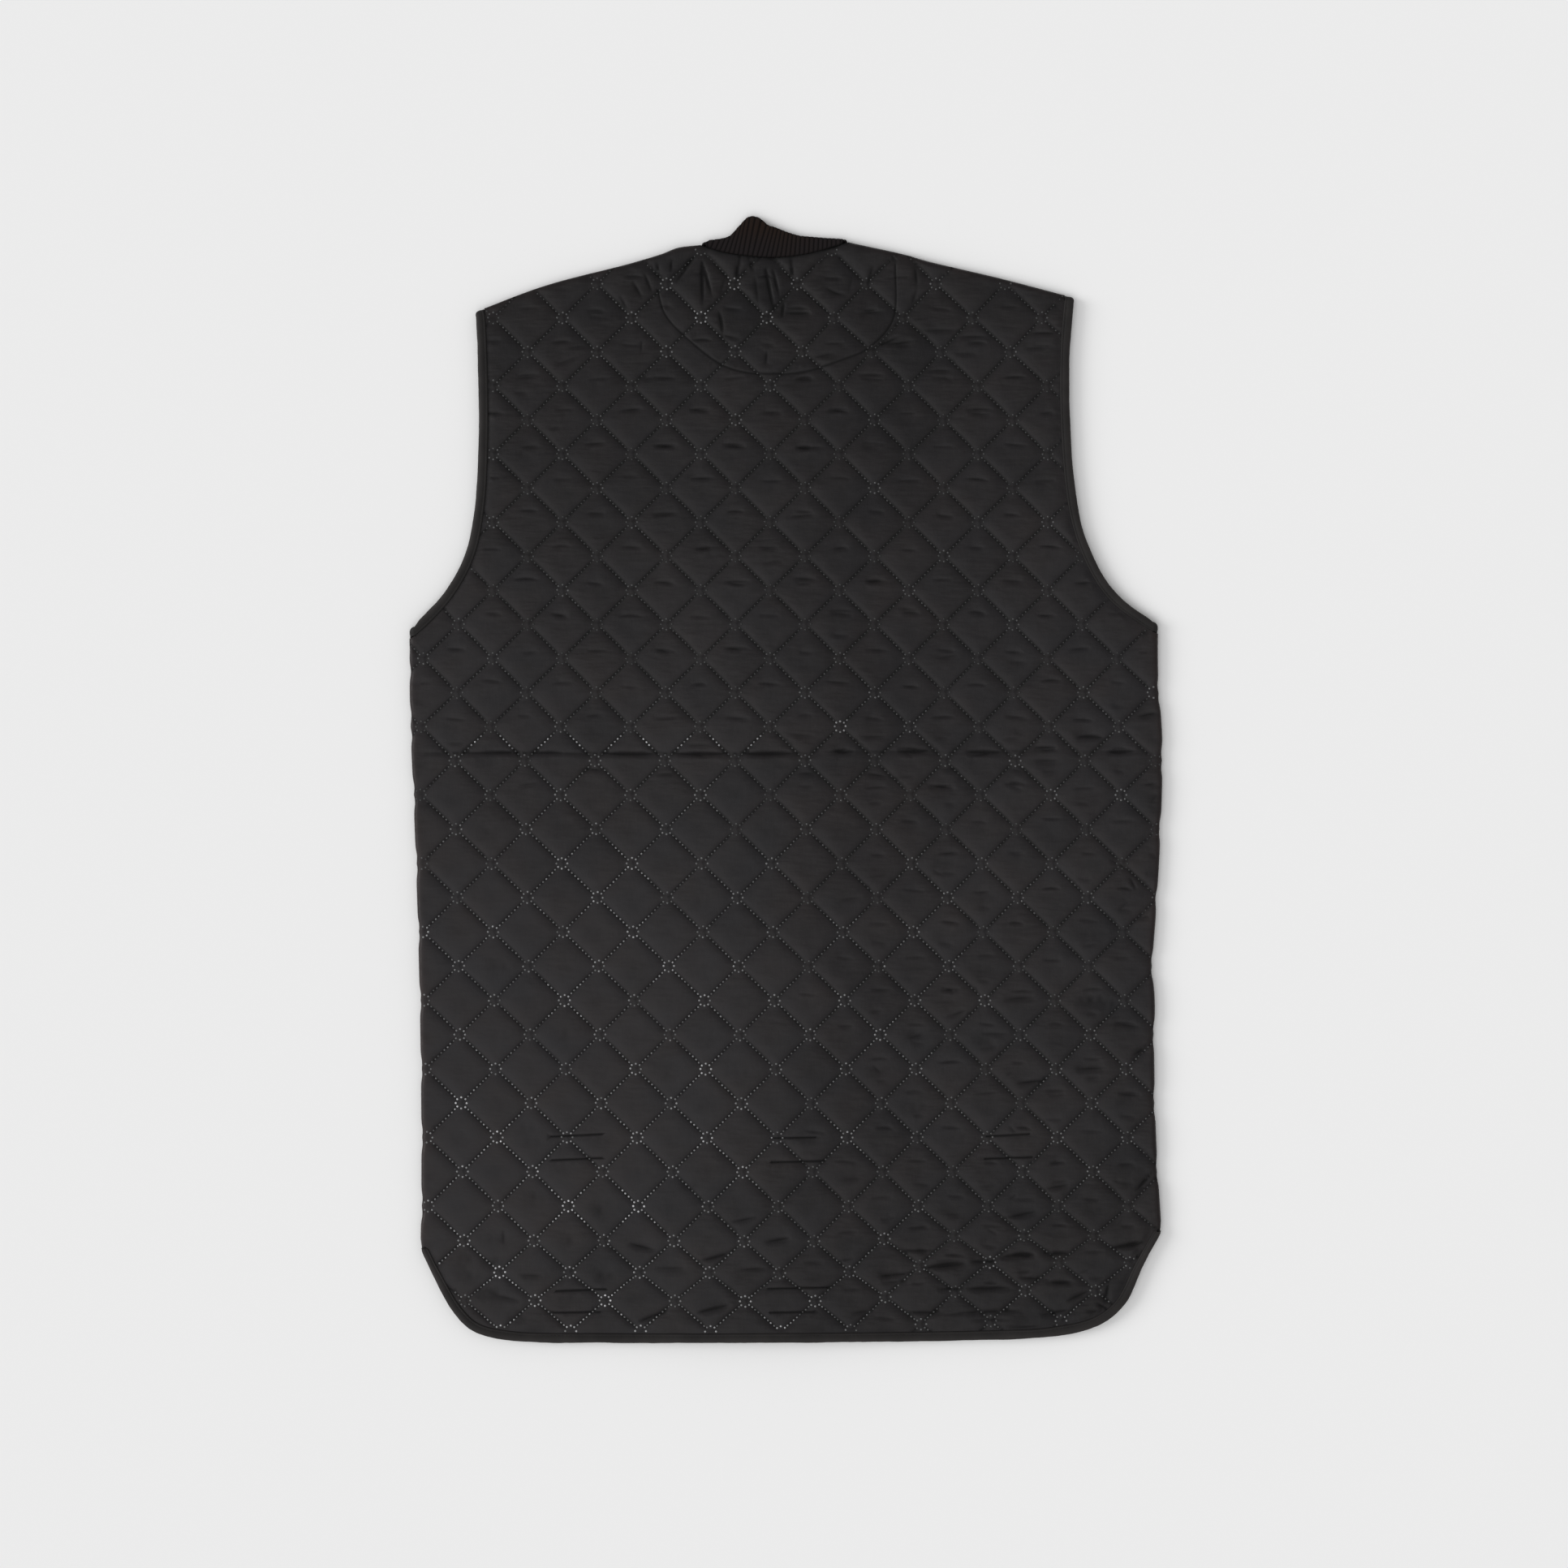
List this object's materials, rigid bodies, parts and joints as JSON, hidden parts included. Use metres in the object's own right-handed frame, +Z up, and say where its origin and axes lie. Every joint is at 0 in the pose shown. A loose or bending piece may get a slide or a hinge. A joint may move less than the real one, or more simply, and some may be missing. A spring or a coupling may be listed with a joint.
{
  "type": "quilted vest",
  "caption": "Sleeveless diamond-quilted vest with a rib-knit collar, bound edges and a snap front, laid flat face down with the back showing.",
  "frame": {"origin": "centre of the laid vest's outline box, on the surface it lies on", "axes": "+Y up the garment to the collar, +Z up off the surface out of the back panel, +X to the right of the back as seen, which is the wearer's right"},
  "size_m": [0.5568, 0.8328, 0.0121],
  "materials": {
    "quilt": "satin black woven cloth, quilted in diamonds",
    "tape": "matt black bias tape, double stitched",
    "rib": "brown-black rib knit",
    "snap": "dark gunmetal"
  },
  "bodies": {
    "root": {"back_panel": "quilt", "front_panel_left": "quilt", "front_panel_right": "quilt", "rib_collar": "rib", "armhole_binding_left": "tape", "armhole_binding_right": "tape", "hem_binding_back": "tape", "edge_binding_front_left": "tape", "edge_binding_front_right": "tape", "snap_cap_1": "snap", "snap_stud_1": "snap", "snap_cap_2": "snap", "snap_stud_2": "snap", "snap_cap_3": "snap", "snap_stud_3": "snap", "snap_cap_4": "snap", "snap_stud_4": "snap", "snap_cap_5": "snap", "snap_stud_5": "snap", "snap_cap_6": "snap", "snap_stud_6": "snap"}
  },
  "joints": []
}
